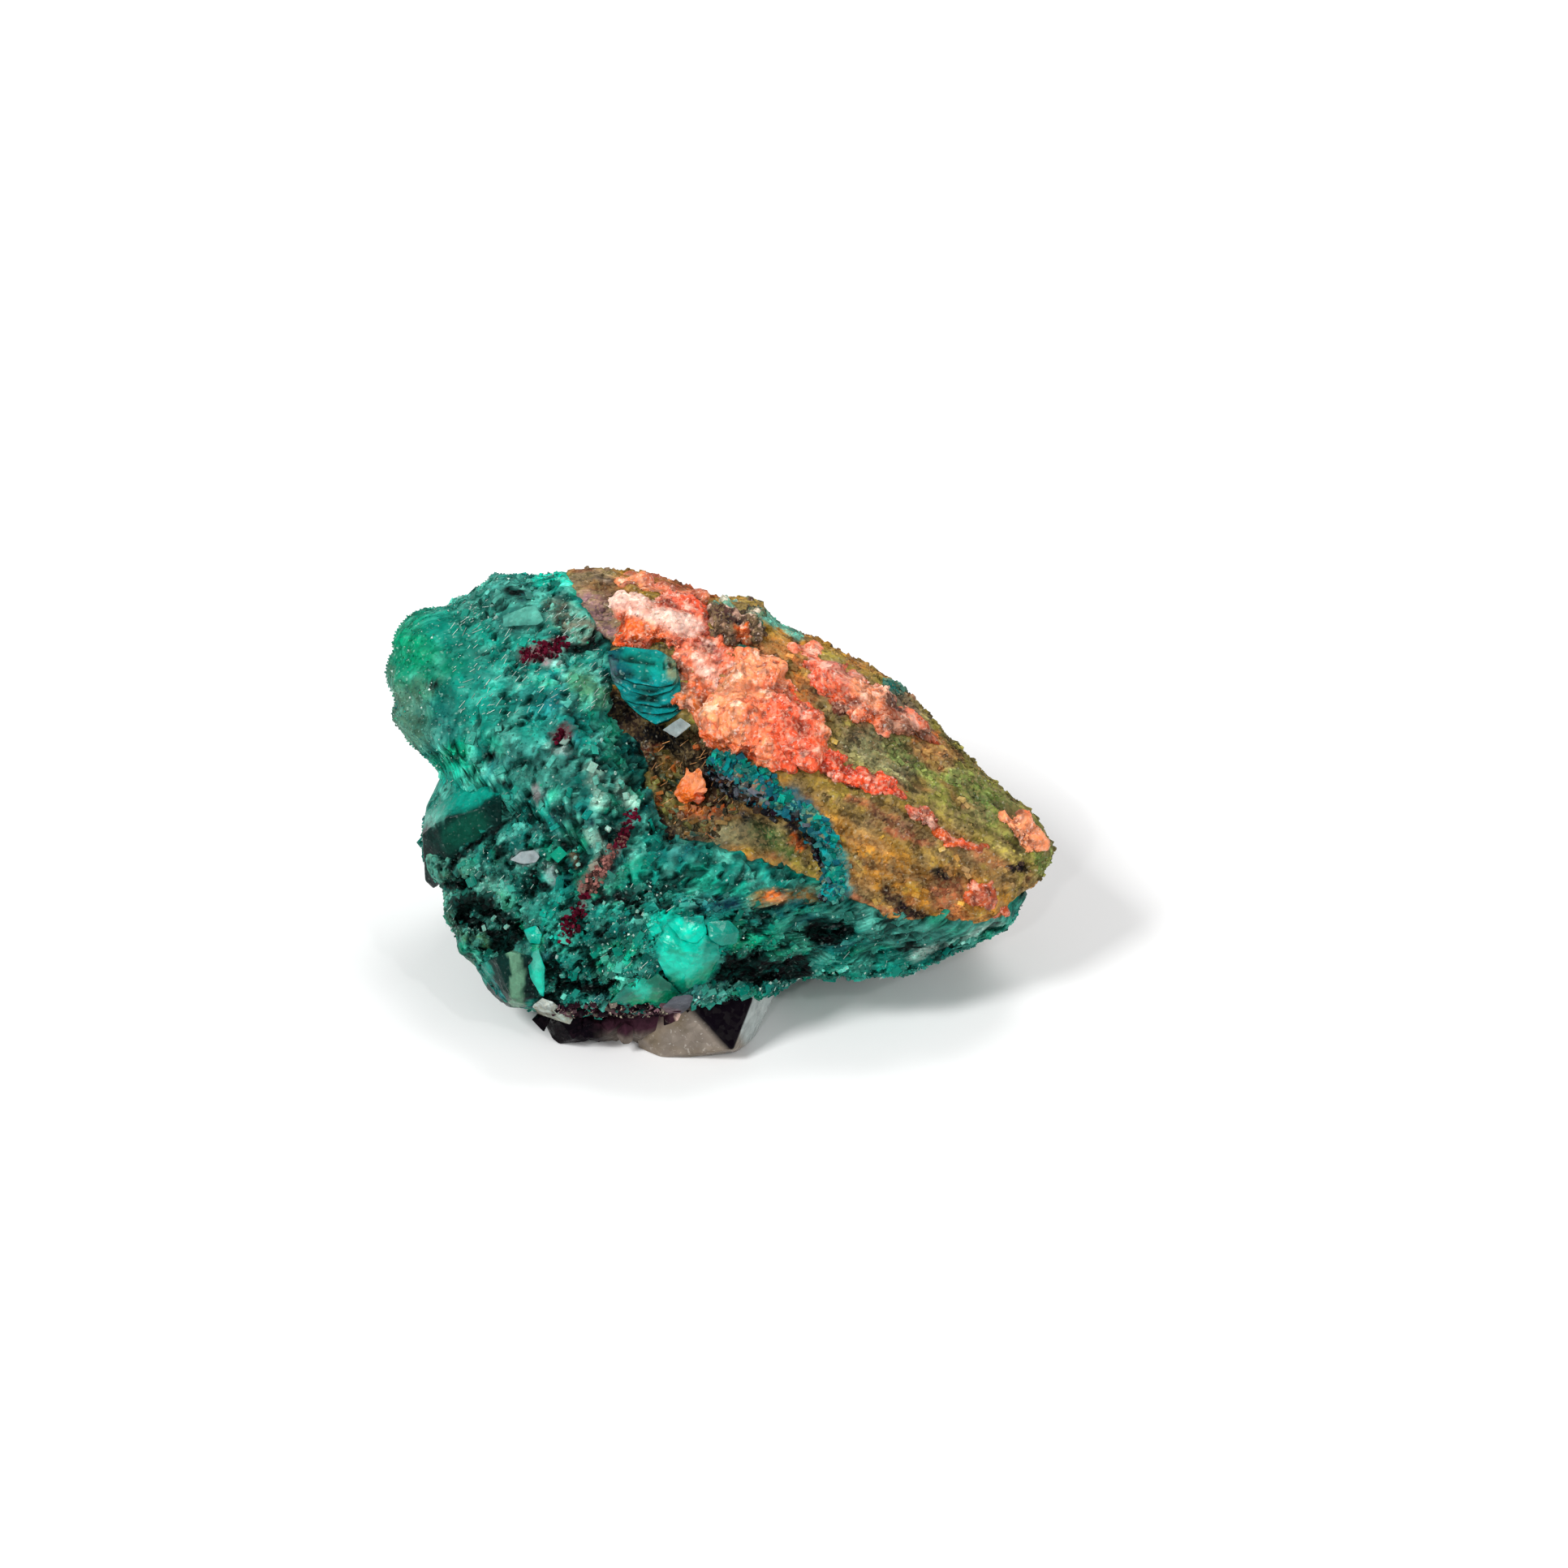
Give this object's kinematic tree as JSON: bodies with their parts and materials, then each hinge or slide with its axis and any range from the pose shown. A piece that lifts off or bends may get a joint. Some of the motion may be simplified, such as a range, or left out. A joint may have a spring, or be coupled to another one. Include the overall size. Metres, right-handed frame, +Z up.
{
  "type": "dioptase specimen",
  "caption": "Free-standing hand specimen: glassy green dioptase druse and pink calcite on a slab of olive host rock, resting on a dark crystal and two rock feet.",
  "frame": {"origin": "middle of the box's bottom face, on the plane that the specimen rests on", "axes": "+X to the right along the specimen's length, +Y to the back, +Z up"},
  "size_m": [0.0496, 0.0308, 0.0287],
  "materials": {
    "host_rock": "rough foliated rock, olive green to ochre",
    "dioptase": "glassy druse of small emerald to teal crystals",
    "cleaved_dioptase": "glassy layered cleavage, teal with dark seams",
    "calcite": "granular translucent calcite, peach to coral",
    "coral_calcite": "granular coral-orange calcite",
    "orange_calcite": "orange calcite chip",
    "dark_crystal": "dark glassy crystal with flat faces",
    "dark_druse": "black-purple glassy druse",
    "grey_crystal": "pale grey crystal with flat faces",
    "dark_matrix": "rough dark brown-purple rock",
    "splinter": "pale beige splinter"
  },
  "bodies": {
    "root": {"host_rock": "host_rock", "dioptase_mass": "dioptase", "pale_splinter": "splinter", "base_crystal": "dark_crystal", "dark_cluster": "dark_druse", "grey_rhomb": "grey_crystal", "calcite_chip": "orange_calcite", "calcite_ridge": "calcite", "cleaved_block": "cleaved_dioptase", "calcite_cap": "calcite", "dark_knob": "dark_matrix", "calcite_flank": "calcite", "calcite_tip": "calcite", "calcite_spot": "coral_calcite"}
  },
  "joints": []
}
